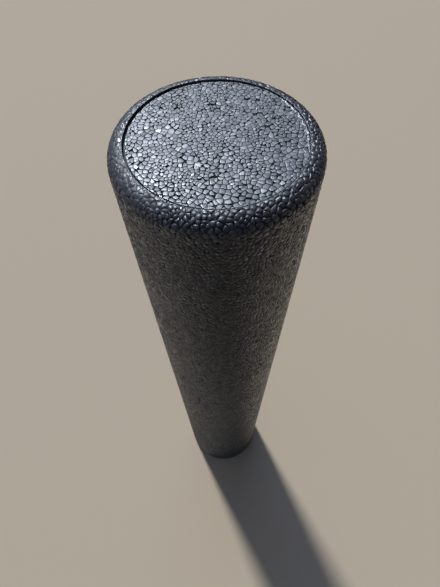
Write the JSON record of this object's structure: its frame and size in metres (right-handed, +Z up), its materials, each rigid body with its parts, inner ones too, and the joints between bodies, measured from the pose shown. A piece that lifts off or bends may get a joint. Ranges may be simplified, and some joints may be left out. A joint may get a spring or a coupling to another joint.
{
  "type": "foam roller",
  "caption": "Long solid round massage roller moulded from black bead foam, with rounded rims and a slightly set-back round face at each end, standing on end.",
  "frame": {"origin": "centre of the lower end, on the plane that the roller stands on", "axes": "+Z up along the roller's axis, from the lower end to the upper end; the roller is the same all round, so +X and +Y are any two directions square to it"},
  "size_m": [0.1524, 0.1524, 0.9144],
  "materials": {
    "moulded_skin": "black expanded-polypropylene bead skin, satin, with flattened polygonal beads and fine grooves between them",
    "end_face_skin": "black expanded-polypropylene beads, domed and glossier than the barrel, with small pits between them",
    "bead_foam_core": "black fused bead foam"
  },
  "bodies": {
    "root": {"foam_core": "bead_foam_core", "barrel_skin": "moulded_skin", "top_shoulder": "moulded_skin", "bottom_shoulder": "moulded_skin", "top_end_face": "end_face_skin", "bottom_end_face": "end_face_skin"}
  },
  "joints": []
}
